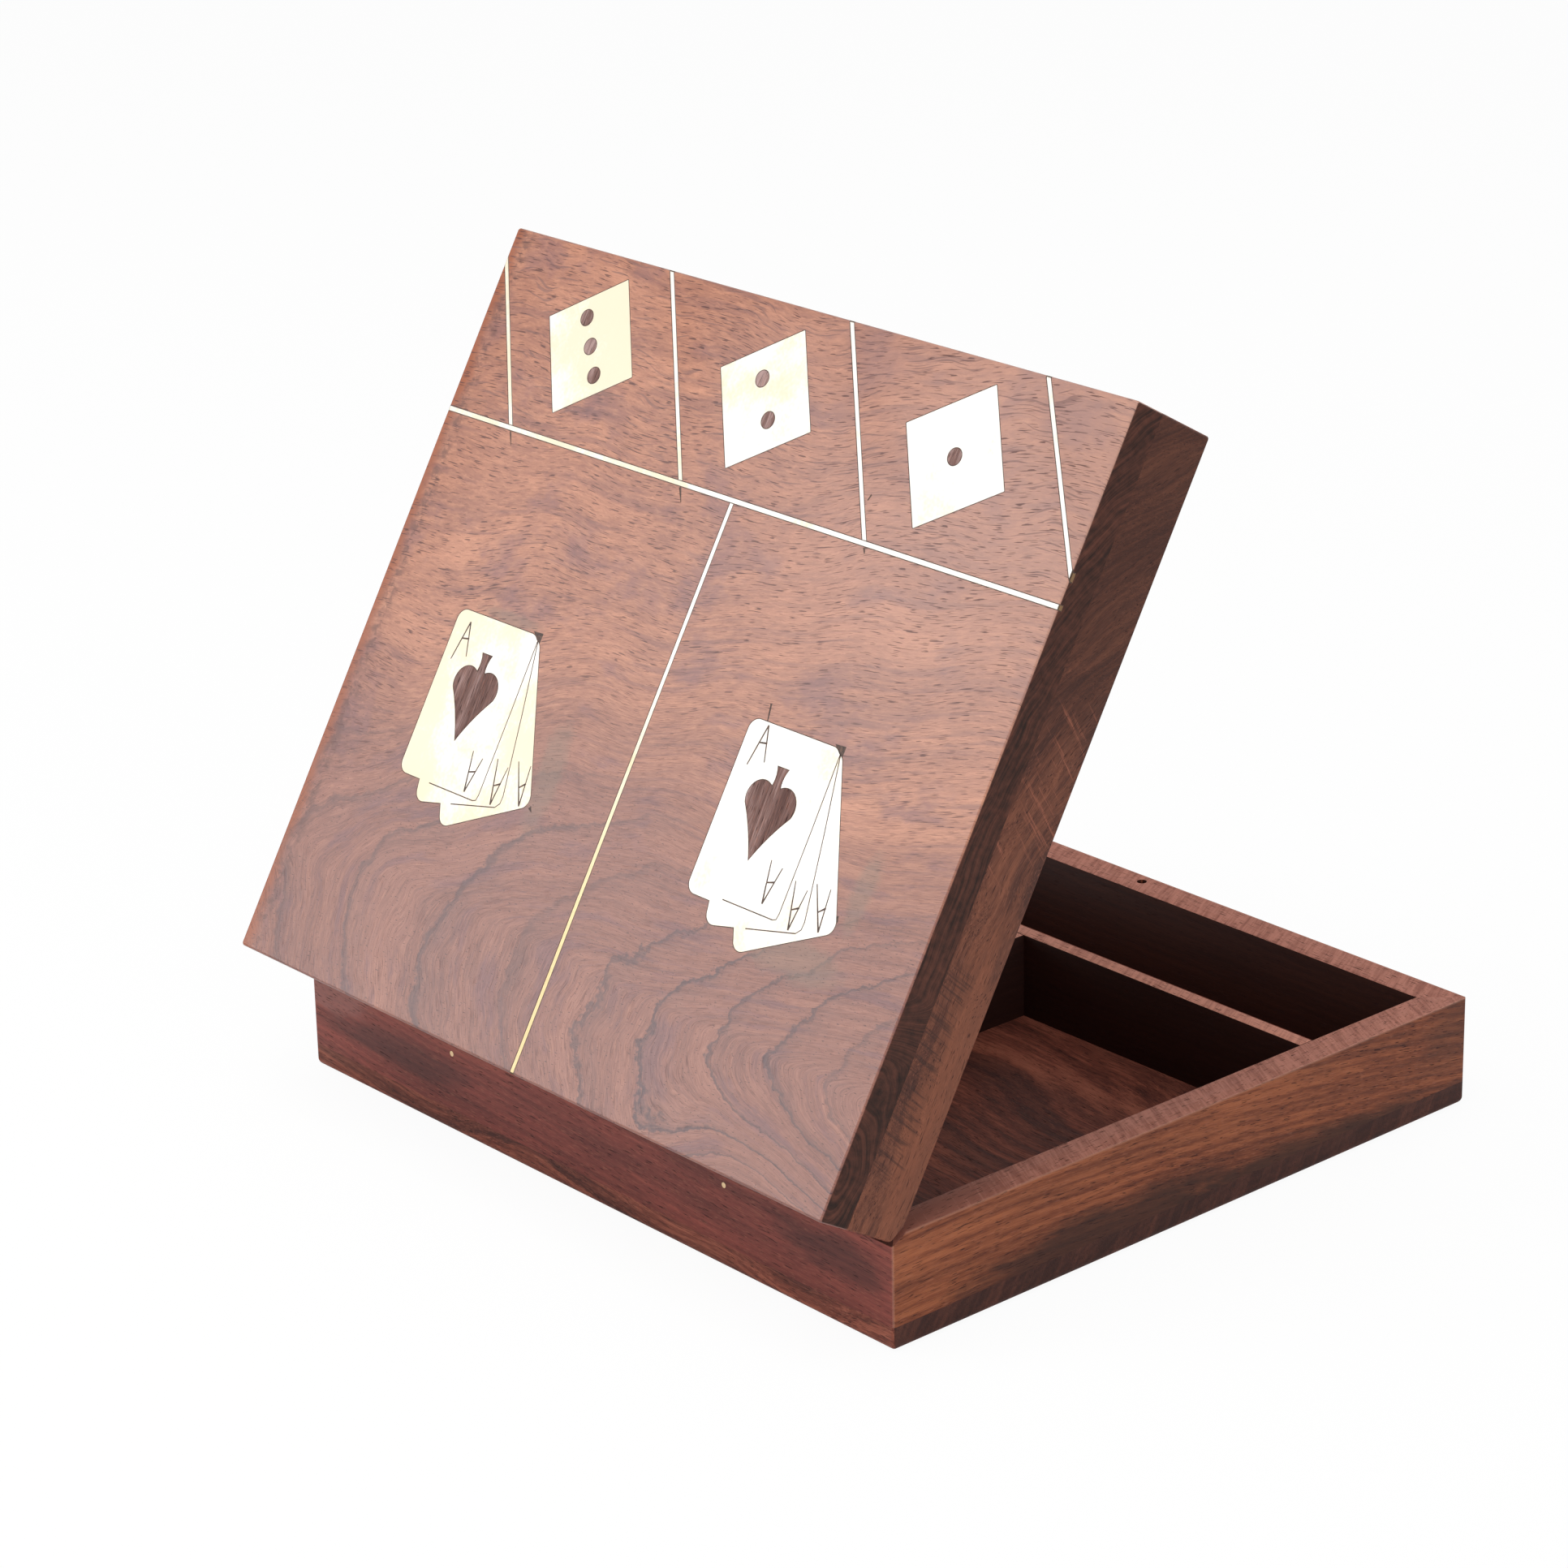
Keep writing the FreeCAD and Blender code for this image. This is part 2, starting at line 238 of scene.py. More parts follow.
# A name alone is a share or a size; with Tone it is a colour, with Range where it fades in,
# and with Dashes a length, a width and that range. A cloud is a centre, a reach, a share, a tone
plainWood = {
    "onLid": False, "grain": "X", "shift": (0, 0, 0), "seed": 0.5,
    "lean": 0.0, "leanAcross": 0.3, "sweep": 0.0, "sweepFrom": 0.0, "clouds": [], "marks": [],
    "wander": 5.0, "wanderScale": (0.012, 0.02, 0.02), "jitter": 1.6, "raggedness": 1.5,
    "pith": (40.0, -70.0), "spacing": 5.5, "lineShape": (0.55, 0.1),
    "fineSpacing": 1.5, "fine": 0.1, "toneDrop": 0.29, "toneRange": (0.25, 0.78),
    "stops": [(0.0, (0.07, 0.019, 0.013)), (0.45, (0.165, 0.042, 0.024)), (1.0, (0.3, 0.085, 0.042))],
    "figure": 0.25, "lineTone": (0.03, 0.011, 0.011),
    "patch": 0.3, "patchScale": (0.02, 0.09, 0.09), "patchRange": (0.5, 0.72),
    "fleck": 0.38, "fleckTone": (0.34, 0.125, 0.075), "fleckDashes": (1.6, 0.16, 0.54, 0.76),
    "pore": 0.75, "poreTone": (0.025, 0.009, 0.008), "poreDashes": (2.4, 0.2, 0.63, 0.7),
    "end": 0.85, "endTone": (0.028, 0.01, 0.008), "endLightTone": (0.085, 0.028, 0.018),
    "endRange": (0.42, 0.72), "endThrough": 0.2, "endSlope": 0.55, "endCrowd": 0.42,
    "sawn": 0.0, "sawnSide": 1.0, "sawnTone": (0.27, 0.102, 0.074), "sawnLightTone": (0.49, 0.21, 0.155),
    "sawnRange": (0.56, 1.02), "runDarkening": 0.35, "runDarkeningFrom": 200.0, "runDarkeningOver": 45.0,
    "hatchSlant": 0.5, "hatchCrowd": 0.95, "hatchLength": 0.1,
    # painted shade: the share that darkens the faces looking into the bays, the share for the bevel by the
    # hinge, and the shade tone they take
    "inward": (0.0, 0.0), "inner": 0.0, "innerTone": (0.014, 0.004, 0.003),
    "bevel": 0.0, "bevelBackRange": (0.3, 0.42), "bevelUpRange": (0.6, 0.75),
    # the pale edge band is partly rubbed by handling, partly a painted highlight along the outer top rim
    # and corners
    "wearAndHighlight": 0.0, "wearAndHighlightTone": (0.55, 0.3, 0.22), "edgeBandReach": 0.5, "rimBandReach": 0.45, "rimWearAndHighlight": 0.6,
    "rough": 0.42, "coat": 0.05, "coatRough": 0.25, "gloss": 0.16, "bump": 0.5, "bumpDepth": 0.05,
}
# How squarely a face looks one way before it counts as facing it
facingRange = {"ends": (0.7, 0.9), "sawn": (0.8, 0.95), "lidEnds": (0.6, 0.85), "lidOutside": (-0.7, -0.3)}
fullTurn = 6.28


def woodFinish(name, look):
    paint = Paint(bpy.data.materials.new(name))
    space = spaceOf(paint, look["onLid"], look["grain"], look["shift"])
    run, aside, height, q = (space[key] for key in ("along", "across", "z", "q"))
    # the grain leans, and sweeps up towards one end
    before = (run - look["sweepFrom"]).math("MINIMUM", 0.0)
    tilt = run * look["lean"] + before * before * look["sweep"]
    q = paint.vector("ADD", q, paint.join(0.0, tilt * look["leanAcross"], tilt))
    wander = (paint.stretched(q, look["wanderScale"], 1.0) - 0.5) * look["wander"]
    q = paint.vector("ADD", q, paint.join(0.0, wander, wander))
    across, depth = paint.split(q)[1:]
    textures = {key: paint.stretched(q, *values) for key, values in woodTextures.items()}
    broad, streak, hair = (textures[key] for key in ("broad", "streak", "hair"))
    jitter, ragged = ((textures[key] - 0.5) for key in ("jitter", "ragged"))

    # rings round the pith give the figure on every face
    ringPlace = paint.join(0.0, across - look["pith"][0], depth - look["pith"][1])
    radius = paint.vector("LENGTH", ringPlace, out=1) + jitter * look["jitter"]
    season = growthLines(paint, radius / look["spacing"], *look["lineShape"], look["seed"])
    fineSeason = (radius * (fullTurn / look["fineSpacing"])).math("SINE") * 0.5 + 0.5
    fleck = poreDashes(paint, q, *look["fleckDashes"])
    pores = poreDashes(paint, q, *look["poreDashes"])

    tone = broad * 0.62 + streak * 0.56 + hair * 0.42 + fineSeason * look["fine"]
    tone = paint.smooth(tone - look["toneDrop"] - look["fine"] * 0.5, *look["toneRange"])
    colour = paint.ramp(tone, look["stops"])
    shade = paint.smooth(paint.stretched(q, look["patchScale"]), *look["patchRange"])
    colour = paint.blend(shade * look["patch"], colour, look["lineTone"])
    colour = paint.blend(season * look["figure"], colour, look["lineTone"])
    colour = paint.blend(fleck * look["fleck"], colour, look["fleckTone"])

    # end grain drinks the polish and turns darker
    endGrain = paint.smooth(space["faceAlong"].math("ABSOLUTE"), *facingRange["ends"])
    endRow = (aside + height * look["endSlope"]) * look["endCrowd"]
    endStreak = paint.noise(paint.join(run * look["endThrough"], endRow, 0.0), 4.0, 0.6)
    endStreak = paint.smooth(endStreak, *look["endRange"])
    endColour = paint.blend(endStreak, look["endTone"], look["endLightTone"])
    colour = paint.blend(endGrain * look["end"], colour, endColour)
    for centre, reach, share, tone in look["clouds"]:
        cloud = patch(paint, run, height, centre, reach, ragged * look["raggedness"])
        colour = paint.blend(cloud * share, colour, tone)
    for row in look["marks"]:
        colour = paint.blend(toolMarks(paint, run, height, row) * row["share"], colour, row["tone"])

    # sawn upper faces stay paler and duller
    sawn = paint.smooth(space["faceZ"] * look["sawnSide"], *facingRange["sawn"])
    hatchRun = (run + aside * look["hatchSlant"]) * look["hatchCrowd"]
    sawMark = paint.noise(paint.join(hatchRun, aside * look["hatchLength"], 0.0), 2.0, 0.8)
    # the sawn face turns darker along the run past a set point; on the left wall that is towards the hinge
    # end
    runDarkeningTo = look["runDarkeningFrom"] + look["runDarkeningOver"]
    runDarkening = paint.smooth(run, look["runDarkeningFrom"], runDarkeningTo) * look["runDarkening"]
    sawnTone = paint.smooth(sawMark * 1.1 + streak * 0.4 + runDarkening, *look["sawnRange"])
    sawnTone = paint.blend(sawnTone, look["sawnLightTone"], look["sawnTone"])
    colour = paint.blend(sawn * look["sawn"], colour, sawnTone)
    # painted shade: the faces that look into the bays, and the bevel by the hinge in the gap under the open
    # lid, are painted almost black
    inward = space["faceX"] * look["inward"][0] + space["faceY"] * look["inward"][1]
    inward = paint.smooth(inward, *facingRange["ends"])
    colour = paint.blend(inward * look["inner"], colour, look["innerTone"])
    bevel = paint.smooth(space["faceY"], *look["bevelBackRange"])
    bevel = bevel * paint.smooth(space["faceZ"], *look["bevelUpRange"])
    colour = paint.blend(bevel * look["bevel"], colour, look["innerTone"])
    colour = paint.blend(pores * look["pore"], colour, look["poreTone"])
    # pale paint along the outer top rim and the corners: partly rubbed pale by handling, partly a painted
    # highlight on those edges
    sideEdge = paint.near(space["x"].math("ABSOLUTE"), boxSize["halfWidth"], look["edgeBandReach"])
    frontEdge = paint.near(space["y"].math("ABSOLUTE"), boxSize["halfDepth"], look["edgeBandReach"])
    rim = paint.near(height, boxSize["baseHeight"], look["rimBandReach"])
    wornAndLit = sideEdge.math("MAXIMUM", frontEdge) * rim * look["rimWearAndHighlight"]
    wornAndLit = (sideEdge * frontEdge).math("MAXIMUM", wornAndLit)
    colour = paint.blend(wornAndLit * look["wearAndHighlight"] * (streak * 0.7 + 0.5), colour, look["wearAndHighlightTone"])

    rough = look["rough"] + sawn * 0.22 + pores * 0.25 + (streak - 0.5) * 0.12 + inward * 0.2
    relief = pores * -0.8 + streak * 0.25 + fleck * 0.15 + sawMark * sawn * 0.7
    return paint.finish(
        Base_Color=colour, Roughness=rough, Normal=paint.bump(relief, look["bump"], look["bumpDepth"]),
        Coat_Weight=look["coat"] * (1.0 - sawn) * (1.0 - inward), Coat_Roughness=look["coatRough"],
        Specular_IOR_Level=look["gloss"],
    )


lidTextures = {
    "slow": ((0.022, 0.022, 0.02), 1.0),
    "middle": ((0.09, 0.11, 0.1), 1.0),
    "quick": ((0.6, 0.65, 0.5), 2.0, 0.6),
    "broad": ((0.13, 0.01, 0.01), 3.0, 0.55),
    "streak": ((1.3, 0.035, 0.035), 4.0, 0.6),
    "hair": ((5.0, 0.3, 0.3), 3.0, 0.65),
    "mottle": ((0.55, 0.16, 0.16), 4.0, 0.7),
    "crowd": ((0.2, 0.06, 0.06), 2.0),
    "dashes": ((9.5, 0.36, 0.36), 0.0),
    "fleck": ((4.0, 0.5, 0.5), 1.0, 0.4),
    "crack": ((3.6, 0.11, 0.11), 1.0, 0.5),
    "cloud": ((0.11, 0.045, 0.045), 4.0, 0.62),
    "vein": ((0.75, 0.028, 0.028), 3.0, 0.6),
}
lidLook = {
    "stops": [(0.0, (0.2, 0.08, 0.06)), (0.5, (0.375, 0.158, 0.098)), (1.0, (0.55, 0.25, 0.15))],
    "hingeStops": [(0.0, (0.14, 0.056, 0.048)), (0.5, (0.255, 0.108, 0.08)), (1.0, (0.38, 0.17, 0.122))],
    "toneRange": (0.44, 1.06), "hingeRange": (66.0, 100.0), "hingeWander": 40.0,
    # the nested lines: where they turn and how they bend, in mm, then their widths and fades
    "apexFromFront": 118.0, "apexWander": 8.0, "curl": 0.048, "hook": 0.15, "hookRange": (108.0, 142.0),
    "fall": 0.018, "tilt": 5.0, "wander": 22.0, "ripple": 9.0, "jitter": 4.5,
    "spacing": 24.0, "crowdFrom": 85.0, "crowd": 0.03, "seed": 0.5,
    "line": 0.66, "lineLeast": 0.05, "lineShape": (0.1, 0.05), "lineTone": (0.05, 0.034, 0.044),
    "veil": 0.34, "veilLeast": 0.03, "veilShape": (0.5, 0.08), "veilTone": (0.115, 0.06, 0.062),
    "linedRange": (82.0, 104.0), "linedWander": 20.0, "linedSideRange": (-60.0, 90.0),
    # the grain that flows round them; a Loss is what the share loses towards the hinge
    "leftLean": 0.09, "leftEnd": 78.0, "flowRipple": 1.5, "flowRippleGain": 4.0, "flowJitter": 0.6,
    "cloud": 0.52, "cloudRange": (0.5, 0.66), "cloudTone": (0.15, 0.07, 0.085),
    "vein": 0.42, "veinLoss": 0.2, "veinRange": (0.53, 0.66), "veinTone": (0.135, 0.058, 0.062),
    "fleck": 0.22, "fleckLoss": 0.08, "fleckRange": (0.56, 0.72), "fleckTone": (0.56, 0.25, 0.155),
    "pore": 0.75, "poreLoss": 0.35, "poreTone": (0.06, 0.022, 0.024),
    "poreEnds": ((0.75, 0.18), (0.83, 0.17)),
    "speck": 0.75, "speckDashes": (0.8, 0.26, 0.66, 0.72),
    "crack": 0.5, "crackRange": (0.61, 0.69), "crackFrontRange": (42.0, 26.0), "crackBend": 2.6,
    # dull smears of finish beside the brass: from side, from front, reach both ways
    "smudges": [
        (60.0, 90.0, 4.0, 11.0), (130.0, 101.5, 13.0, 4.5), (139.0, 88.0, 3.0, 9.0),
        (36.0, 66.3, 10.0, 1.5),
    ],
    "smudge": 0.5, "smudgeTone": (0.2, 0.13, 0.095),
    # a painted sheen: a pale haze of reflected light over the lid, growing towards its -X side and its
    # front edge
    "paintedSheen": 0.46, "paintedSheenTone": (0.46, 0.295, 0.25),
    "paintedSheenSideRange": (40.0, 150.0), "paintedSheenFrontRange": (88.0, 24.0),
    "rim": 0.9, "rimTone": (0.29, 0.075, 0.026), "rimRange": (3.8, 0.5), "rimWander": 3.0,
    "crumb": 0.65, "crumbTone": (0.1, 0.04, 0.034), "crumbRange": (0.12, 0.36),
    "crumbAt": 3.4, "crumbReach": 3.2,
    # the dark ends
    "endTone": (0.018, 0.008, 0.006), "endLightTone": (0.125, 0.042, 0.027), "endRange": (0.24, 0.74),
    "fanFrom": 5.0, "fan": 0.006, "fanWander": 3.0, "ringCrowd": 1.3, "ringDrift": 0.05,
    "knot": (61.0, 38.5), "knotWide": 0.42, "knotWander": 4.5, "knotRange": (30.0, 42.0),
    "rough": 0.6, "coat": 0.35, "coatRough": 0.22, "gloss": 0.16, "bump": 0.45, "bumpDepth": 0.05,
}


def lidFinish(name, look):
    paint = Paint(bpy.data.materials.new(name))
    space = spaceOf(paint, True, "X", (0.0, 0.0, 0.0))
    y, z, q = space["y"], space["z"], space["q"]
    fromSide = boxSize["halfWidth"] - space["x"]
    fromFront = y + boxSize["halfDepth"]

    def texture(key, where):
        return paint.stretched(where, *lidTextures[key])

    slow, middle, quick = (texture(key, q) - 0.5 for key in ("slow", "middle", "quick"))

    # nested season lines that open towards the front, tightest near the left side
    bow = fromFront - look["apexFromFront"] + slow * look["apexWander"]
    # below their tips the lines run steeply to the edge, and hook back near the far corner
    above, below = bow.math("MINIMUM", 0.0), bow.math("MAXIMUM", 0.0)
    hook = paint.smooth(fromSide, *look["hookRange"]) * look["hook"] + look["fall"]
    calm = fromSide - above * above * look["curl"] - below * below * hook
    calm = calm + (z - lidSwing["top"]) * look["tilt"] + slow * look["wander"]
    height = calm + middle * look["ripple"] + quick * look["jitter"]
    crowding = (height - look["crowdFrom"]).math("MAXIMUM", 0.0) * look["crowd"]
    count = height / look["spacing"] + crowding
    season = growthLines(paint, count, *look["lineShape"], look["seed"])
    veil = growthLines(paint, count, *look["veilShape"], look["seed"])
    hingeHalf = paint.smooth(fromFront + slow * look["hingeWander"], *look["hingeRange"])
    lined = paint.smooth(fromFront + slow * look["linedWander"], *look["linedRange"])
    lined = lined * paint.smooth(fromSide, *look["linedSideRange"])

    # the grain flows round those lines; on the far half it runs nearly straight
    steep = above * (2.0 * look["curl"])
    step = (steep * steep + 1.0).math("SQRT")
    straighten = fromSide.math("MINIMUM", look["leftEnd"]) * look["leftLean"]
    flow = calm + middle * (look["flowRipple"] + hingeHalf * look["flowRippleGain"])
    flow = flow / step - straighten * (1.0 - hingeHalf)
    straight = paint.join(flow, fromSide, fromFront)
    grain = paint.join(flow + quick * look["flowJitter"], fromSide, fromFront)
    broad, streak, hair, mottle, crowd, fleck, cloud = (
        texture(key, grain) for key in ("broad", "streak", "hair", "mottle", "crowd", "fleck", "cloud")
    )
    # the dashes fade in between two levels, both lower where pores crowd together
    poreEnds = (level - crowd * pull for level, pull in look["poreEnds"])
    pores = paint.smooth(texture("dashes", straight), *poreEnds)
    specks = poreDashes(paint, q, *look["speckDashes"])
    # longer cracks along the front bend round the let-in brass
    bent = paint.join(flow + middle * look["crackBend"], fromSide, fromFront)
    cracks = paint.smooth(texture("crack", bent), *look["crackRange"])
    cracks = cracks * paint.smooth(fromFront, *look["crackFrontRange"])

    tone = broad * 0.38 + streak * 0.3 + hair * 0.5 + mottle * 0.32
    tone = paint.smooth(tone, *look["toneRange"])
    colour = paint.blend(hingeHalf, paint.ramp(tone, look["stops"]), paint.ramp(tone, look["hingeStops"]))
    cloud = paint.smooth(cloud, *look["cloudRange"])
    colour = paint.blend(cloud * look["cloud"], colour, look["cloudTone"])
    vein = paint.smooth(texture("vein", straight), *look["veinRange"])
    colour = paint.blend(vein * (look["vein"] - hingeHalf * look["veinLoss"]), colour, look["veinTone"])
    colour = paint.blend(veil * (lined * look["veil"] + look["veilLeast"]), colour, look["veilTone"])
    colour = paint.blend(season * (lined * look["line"] + look["lineLeast"]), colour, look["lineTone"])
    fleck = paint.smooth(fleck, *look["fleckRange"])
    colour = paint.blend(fleck * (look["fleck"] - hingeHalf * look["fleckLoss"]), colour, look["fleckTone"])
    ragged = middle * 0.8 + quick * 0.5
    for smudge in look["smudges"]:
        smear = patch(paint, fromSide, fromFront, smudge[:2], smudge[2:], ragged)
        colour = paint.blend(smear * look["smudge"], colour, look["smudgeTone"])
    # painted sheen: a pale haze of reflected light, growing towards the lid's -X side and its front edge
    paintedSheen = paint.smooth(fromSide, *look["paintedSheenSideRange"])
    paintedSheen = paintedSheen * paint.smooth(fromFront, *look["paintedSheenFrontRange"])
    colour = paint.blend(paintedSheen * look["paintedSheen"], colour, look["paintedSheenTone"])
    rim = paint.smooth(fromSide + middle * look["rimWander"], *look["rimRange"])
    crumbs = paint.smooth(quick + streak * 0.4, *look["crumbRange"])
    crumbs = paint.near(fromSide, look["crumbAt"], look["crumbReach"]) * crumbs
    colour = paint.blend(rim * look["rim"], colour, look["rimTone"])
    colour = paint.blend(crumbs * look["crumb"], colour, look["crumbTone"])
    colour = paint.blend(cracks * look["crack"], colour, look["veilTone"])
    dark = pores * (look["pore"] - hingeHalf * look["poreLoss"])
    dark = dark.math("MAXIMUM", specks * hingeHalf * look["speck"])
    colour = paint.blend(dark, colour, look["poreTone"])

    # end grain on the two sides, much darker: it fans out at the front and rings a knot by the hinge
    endGrain = paint.smooth(space["faceX"].math("ABSOLUTE"), *facingRange["lidEnds"])
    before = (y - look["fanFrom"]).math("MINIMUM", 0.0)
    fanned = z + before * before * look["fan"] + middle * look["fanWander"]
    knotPlace = paint.join((y - look["knot"][0]) * look["knotWide"], z - look["knot"][1], 0.0)
    knot = paint.vector("LENGTH", knotPlace, out=1) + middle * look["knotWander"]
    byHinge = paint.smooth(y, *look["knotRange"])
    ring = knot * byHinge + fanned * (1.0 - byHinge)
    arcs = paint.noise(paint.join(ring * look["ringCrowd"], y * look["ringDrift"], 0.0), 5.0, 0.72)
    arcTone = paint.smooth(arcs * 0.9 + quick * 0.35, *look["endRange"])
    colour = paint.blend(endGrain, colour, paint.blend(arcTone, look["endTone"], look["endLightTone"]))

    # only the outer faces are polished
    polished = paint.smooth(space["faceZ"], *facingRange["lidOutside"])
    rough = look["rough"] - polished * 0.24 + pores * 0.25 + (streak - 0.5) * 0.1 + endGrain * 0.15
    relief = pores * -0.9 + streak * 0.2 + hair * 0.12 - season * 0.1
    return paint.finish(
        Base_Color=colour, Roughness=rough, Normal=paint.bump(relief, look["bump"], look["bumpDepth"]),
        Coat_Weight=look["coat"] * (1.0 - endGrain) * polished, Coat_Roughness=look["coatRough"],
        Specular_IOR_Level=look["gloss"],
    )


brassAge = {
    "brush": ((0.12, 6.0, 6.0), 3.0, 0.6), "mottleScale": 1.4, "shift": (3.0, 7.0, 1.0),
    "agedRange": (-10.0, 60.0), "aged": 0.22, "golden": 0.9, "goldenRange": (22.0, 64.0),
    "centreReach": 4.0, "centreRange": (-20.0, 45.0), "scratch": 0.25, "scratchRange": (0.55, 0.8),
    "cutTop": 0.01, "cutFull": 0.11,
}
inlayLook = {
    "onLid": True, "grain": "Y", "cloudScale": 0.07, "warmRange": (0.5, 0.75),
    "paleTone": (0.74, 0.71, 0.66), "warmTone": (0.71, 0.625, 0.47),
    "goldTone": (0.62, 0.46, 0.21), "scratchTone": (0.68, 0.6, 0.46),
    "face": lidSwing["top"], "cutTone": (0.22, 0.125, 0.055), "rough": 0.45, "metal": 0.35,
}
hingeLook = {
    "onLid": False, "grain": "X", "cloudScale": 0.6, "warmRange": (0.35, 0.7),
    "paleTone": (0.8, 0.64, 0.42), "warmTone": (0.62, 0.44, 0.24),
    "goldTone": (0.7, 0.52, 0.3), "scratchTone": (0.5, 0.34, 0.18),
    "face": -100.0, "cutTone": (0.16, 0.085, 0.035), "rough": 0.34, "metal": 0.8,
}


def brassFinish(name, look):
    paint = Paint(bpy.data.materials.new(name))
    space = spaceOf(paint, look["onLid"], look["grain"], brassAge["shift"])
    x, y, z, q = (space[key] for key in ("x", "y", "z", "q"))
    cloud = paint.noise(q, 3.0, 0.6, look["cloudScale"])
    brush = paint.stretched(q, *brassAge["brush"])
    mottle = paint.noise(q, scale=brassAge["mottleScale"])
    # one side of the lid has yellowed, and its hinge end even more
    aged = paint.smooth(x, *brassAge["agedRange"]) * brassAge["aged"]
    warm = paint.smooth(cloud + (mottle - 0.5) * 0.3 + aged, *look["warmRange"])
    colour = paint.blend(warm, look["paleTone"], look["warmTone"])
    centred = paint.near(x, 0.0, brassAge["centreReach"]) * paint.smooth(y, *brassAge["centreRange"])
    golden = paint.smooth(y, *brassAge["goldenRange"]).math("MAXIMUM", centred)
    colour = paint.blend(golden * brassAge["golden"], colour, look["goldTone"])
    scratched = paint.smooth(brush, *brassAge["scratchRange"])
    colour = paint.blend(scratched * brassAge["scratch"], colour, look["scratchTone"])
    # what is cut into the face has filled with dark polish
    cut = paint.smooth(z, look["face"] - brassAge["cutTop"], look["face"] - brassAge["cutFull"])
    colour = paint.blend(cut, colour, look["cutTone"])
    return paint.finish(
        Base_Color=colour, Metallic=(1.0 - cut) * look["metal"],
        Roughness=look["rough"] + (brush - 0.5) * 0.22 + warm * 0.06 + cut * 0.3,
        Normal=paint.bump(brush * 0.5 + mottle * 0.3, 0.25, 0.02),
    )


fillerLook = {
    "dark": (0.035, 0.018, 0.014), "pale": (0.13, 0.072, 0.05), "paleRange": (0.35, 0.7), "scale": 1.8,
}


def fillerFinish(name, look):
    # dark glue and dust round the let-in brass
    paint = Paint(bpy.data.materials.new(name))
    space = spaceOf(paint, True, "X", (0.0, 0.0, 0.0))
    crumbs = paint.noise(space["q"], 3.0, 0.6, look["scale"])
    colour = paint.blend(paint.smooth(crumbs, *look["paleRange"]), look["dark"], look["pale"])
    relief = paint.bump(crumbs, 0.4, 0.03)
    return paint.finish(Base_Color=colour, Roughness=0.5 + crumbs * 0.3, Normal=relief)


finishes = {
    "lid": lidFinish("lidWood", lidLook),
    "inlay": brassFinish("inlayBrass", inlayLook),
    "hinge": brassFinish("hingeBrass", hingeLook),
    "lidHinge": brassFinish("lidHingeBrass", {**hingeLook, "onLid": True}),
    "filler": fillerFinish("darkFiller", fillerLook),
}
# the share for faces inside the bays is painted shade; the hinge wall's bevel share is painted shadow
wallLooks = {
    "hinge_wall": {
        "shift": (11, 3, 40), "inward": (0.0, -1.0), "seed": 3.5, "lean": -0.05, "bevel": 0.8,
        "stops": [(0.0, (0.13, 0.03, 0.025)), (0.45, (0.205, 0.048, 0.037)), (1.0, (0.3, 0.075, 0.054))],
        "clouds": [((52, 11), (24, 3.6), 0.55, (0.05, 0.02, 0.019)),
                   ((-64, 12.5), (15, 4.5), 0.6, (0.045, 0.018, 0.017)),
                   ((76, 16), (16, 5), 0.5, (0.27, 0.13, 0.115))]},
    "front_wall": {"shift": (71, 33, 10), "inward": (0.0, 1.0), "seed": 7.5, "inner": 0.92},
    "left_wall": {
        "grain": "Y", "shift": (25, 52, -14), "inward": (1.0, 0.0), "seed": 5.5, "figure": 0.2,
        "runDarkeningFrom": 20.0, "sweep": 0.0009, "sweepFrom": 60.0,
        "stops": [(0.0, (0.08, 0.023, 0.013)), (0.42, (0.18, 0.047, 0.02)), (1.0, (0.36, 0.114, 0.047))],
        "clouds": [((-28, 3.5), (42, 4.5), 0.8, (0.044, 0.018, 0.012)),
                   ((22, 4.5), (38, 6.5), 0.8, (0.038, 0.016, 0.012)),
                   ((-66, 15), (10, 8), 0.35, (0.07, 0.028, 0.018))]},
    "right_wall": {"grain": "Y", "shift": (-45, 12, 24), "inward": (-1.0, 0.0), "seed": 9.5},
}
# each wall gets a pale band along its outer top rim and corners, partly rubbing and partly a painted
# highlight
for name, look in wallLooks.items():
    finishes[name] = woodFinish(name, {**plainWood, "sawn": 0.85, "inner": 0.93, "wearAndHighlight": 0.6, **look})
railLooks = {
    "lid_rear_rail": {"shift": (31, 63, 4), "seed": 2.5},
    "lid_front_rail": {"shift": (15, -33, 34), "seed": 4.5},
    "lid_left_rail": {
        "grain": "Y", "shift": (5, 21, 64), "seed": 6.5, "figure": 0.42, "sweep": 0.008, "sweepFrom": 22.0,
        "spacing": 3.4, "jitter": 2.6, "wander": 14.0, "wanderScale": (0.045, 0.07, 0.07),
        "patch": 0.45, "patchScale": (0.06, 0.16, 0.16),
        "stops": [(0.0, (0.072, 0.023, 0.014)), (0.45, (0.135, 0.043, 0.024)), (1.0, (0.23, 0.08, 0.043))],
        "clouds": [((-60, 27), (58, 28), 0.55, (0.036, 0.011, 0.007)),
                   ((44, 23), (34, 7), 0.5, (0.28, 0.092, 0.046))],
        "marks": [{"lean": 0.25, "crowd": 1.0, "from": 0.47, "middle": 42.0, "half": 21.0, "top": 32.6,
                   "drop": 7.0, "share": 0.62, "tone": (0.034, 0.014, 0.011)},
                  {"lean": 0.6, "crowd": 0.45, "from": 0.54, "middle": -6.0, "half": 18.0, "top": 32.0,
                   "drop": 12.0, "share": 0.6, "tone": (0.36, 0.12, 0.07)}]},
    "lid_right_rail": {"grain": "Y", "shift": (-15, 42, 14), "seed": 8.5},
}
